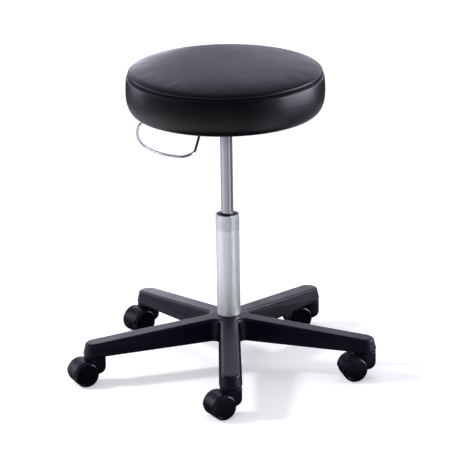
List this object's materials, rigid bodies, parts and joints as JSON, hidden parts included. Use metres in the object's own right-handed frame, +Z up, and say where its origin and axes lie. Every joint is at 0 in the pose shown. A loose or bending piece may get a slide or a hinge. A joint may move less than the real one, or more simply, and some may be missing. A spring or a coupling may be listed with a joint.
{
  "type": "exam stool",
  "caption": "Pneumatic exam stool with a round black vinyl seat, wire release ring, silver column and a black moulded five-arm base on twin-wheel casters",
  "frame": {"origin": "on the column's axis at floor level, under the middle of the five-arm base", "axes": "+Z up the column to the seat; -Y along the arm that points at the front; +X to the right of that arm"},
  "size_m": [0.6548, 0.6146, 0.6724],
  "materials": {
    "black_vinyl": "semi-gloss grained upholstery vinyl",
    "seat_foam": "open-cell foam",
    "plywood": "raw plywood",
    "black_steel": "black powder coat",
    "zinc_steel": "bright zinc plate",
    "dark_steel": "oiled spring steel",
    "ring_chrome": "bright chrome plate",
    "tube_chrome": "satin chrome",
    "column_silver": "satin silver",
    "band_film": "plain silver film",
    "button_brass": "turned brass",
    "black_acetal": "smooth acetal",
    "black_rubber": "moulded rubber",
    "base_nylon": "fine-textured glass-filled nylon",
    "hood_nylon": "satin nylon",
    "wheel_nylon": "hard nylon, polished face"
  },
  "bodies": {
    "base": {"base_star": "base_nylon", "column_tube": "column_silver", "guide_bush": "black_acetal", "column_band": "band_film", "column_foot": "dark_steel", "bearing_race": "zinc_steel", "grip_rings": "dark_steel", "caster_stem_1": "zinc_steel", "caster_stem_2": "zinc_steel", "caster_stem_3": "zinc_steel", "caster_stem_4": "zinc_steel", "caster_stem_5": "zinc_steel"},
    "spindle": {"piston_rod": "tube_chrome", "piston": "dark_steel", "rod_collar": "zinc_steel", "rod_bumper": "black_rubber", "bearing_balls": "ring_chrome", "rod_washer": "zinc_steel", "rod_clip": "dark_steel"},
    "seat": {"pressure_tube": "tube_chrome", "rod_guide": "dark_steel", "rod_seal": "black_rubber", "taper_socket": "black_steel", "seat_plate": "black_steel", "plate_screws": "zinc_steel", "seat_board": "plywood", "tee_nuts": "zinc_steel", "seat_foam": "seat_foam", "seat_cover": "black_vinyl", "lever_pin": "zinc_steel", "pin_clips": "dark_steel"},
    "release_lever": {"release_tongue": "black_steel", "release_ring": "ring_chrome"},
    "valve": {"valve_button": "button_brass"},
    "caster_1": {"caster_body_1": "hood_nylon", "caster_axle_1": "zinc_steel"},
    "inner_wheel_1": {"inner_wheel_1": "wheel_nylon"},
    "outer_wheel_1": {"outer_wheel_1": "wheel_nylon"},
    "caster_2": {"caster_body_2": "hood_nylon", "caster_axle_2": "zinc_steel"},
    "inner_wheel_2": {"inner_wheel_2": "wheel_nylon"},
    "outer_wheel_2": {"outer_wheel_2": "wheel_nylon"},
    "caster_3": {"caster_body_3": "hood_nylon", "caster_axle_3": "zinc_steel"},
    "inner_wheel_3": {"inner_wheel_3": "wheel_nylon"},
    "outer_wheel_3": {"outer_wheel_3": "wheel_nylon"},
    "caster_4": {"caster_body_4": "hood_nylon", "caster_axle_4": "zinc_steel"},
    "inner_wheel_4": {"inner_wheel_4": "wheel_nylon"},
    "outer_wheel_4": {"outer_wheel_4": "wheel_nylon"},
    "caster_5": {"caster_body_5": "hood_nylon", "caster_axle_5": "zinc_steel"},
    "inner_wheel_5": {"inner_wheel_5": "wheel_nylon"},
    "outer_wheel_5": {"outer_wheel_5": "wheel_nylon"}
  },
  "joints": [
    {"name": "seat_swivel", "type": "hinge", "parent": "base", "child": "spindle", "pos_m": [0, 0, 0.068], "axis": [0, 0, 1], "continuous": true},
    {"name": "seat_height", "type": "slide", "parent": "spindle", "child": "seat", "axis": [0, 0, 1], "range_m": [-0.168, 0.02]},
    {"name": "release_lift", "type": "hinge", "parent": "seat", "child": "release_lever", "pos_m": [-0.03937, -0.01464, 0.54869], "axis": [-0.3486, 0.9373, 0], "range_deg": [0, 5], "stiffness_Nm_per_rad": 10},
    {"name": "valve_press", "type": "slide", "parent": "seat", "child": "valve", "axis": [0, 0, 1], "range_m": [-0.004, 0]},
    {"name": "caster_swivel_1", "type": "hinge", "parent": "base", "child": "caster_1", "pos_m": [0, -0.3004, 0.0622], "axis": [0, 0, 1], "continuous": true},
    {"name": "inner_roll_1", "type": "hinge", "parent": "caster_1", "child": "inner_wheel_1", "pos_m": [-0.02357, -0.31357, 0.0265], "axis": [0.4879, -0.8729, 0], "continuous": true},
    {"name": "outer_roll_1", "type": "hinge", "parent": "caster_1", "child": "outer_wheel_1", "pos_m": [-0.02357, -0.31357, 0.0265], "axis": [0.4879, -0.8729, 0], "continuous": true},
    {"name": "caster_swivel_2", "type": "hinge", "parent": "base", "child": "caster_2", "pos_m": [0.2857, -0.09283, 0.0622], "axis": [0, 0, 1], "continuous": true},
    {"name": "inner_roll_2", "type": "hinge", "parent": "caster_2", "child": "inner_wheel_2", "pos_m": [0.25943, -0.09909, 0.0265], "axis": [0.2317, -0.9728, 0], "continuous": true},
    {"name": "outer_roll_2", "type": "hinge", "parent": "caster_2", "child": "outer_wheel_2", "pos_m": [0.25943, -0.09909, 0.0265], "axis": [0.2317, -0.9728, 0], "continuous": true},
    {"name": "caster_swivel_3", "type": "hinge", "parent": "base", "child": "caster_3", "pos_m": [0.17657, 0.24303, 0.0622], "axis": [0, 0, 1], "continuous": true},
    {"name": "inner_roll_3", "type": "hinge", "parent": "caster_3", "child": "inner_wheel_3", "pos_m": [0.151, 0.23437, 0.0265], "axis": [0.3206, -0.9472, 0], "continuous": true},
    {"name": "outer_roll_3", "type": "hinge", "parent": "caster_3", "child": "outer_wheel_3", "pos_m": [0.151, 0.23437, 0.0265], "axis": [0.3206, -0.9472, 0], "continuous": true},
    {"name": "caster_swivel_4", "type": "hinge", "parent": "base", "child": "caster_4", "pos_m": [-0.17657, 0.24303, 0.0622], "axis": [0, 0, 1], "continuous": true},
    {"name": "inner_roll_4", "type": "hinge", "parent": "caster_4", "child": "inner_wheel_4", "pos_m": [-0.19725, 0.22567, 0.0265], "axis": [0.6428, -0.766, 0], "continuous": true},
    {"name": "outer_roll_4", "type": "hinge", "parent": "caster_4", "child": "outer_wheel_4", "pos_m": [-0.19725, 0.22567, 0.0265], "axis": [0.6428, -0.766, 0], "continuous": true},
    {"name": "caster_swivel_5", "type": "hinge", "parent": "base", "child": "caster_5", "pos_m": [-0.2857, -0.09283, 0.0622], "axis": [0, 0, 1], "continuous": true},
    {"name": "inner_roll_5", "type": "hinge", "parent": "caster_5", "child": "inner_wheel_5", "pos_m": [-0.31034, -0.10385, 0.0265], "axis": [0.4083, -0.9128, 0], "continuous": true},
    {"name": "outer_roll_5", "type": "hinge", "parent": "caster_5", "child": "outer_wheel_5", "pos_m": [-0.31034, -0.10385, 0.0265], "axis": [0.4083, -0.9128, 0], "continuous": true}
  ],
  "couplings": [
    {"joint": "valve_press", "follows": "release_lift", "m_per_rad": -0.045}
  ]
}
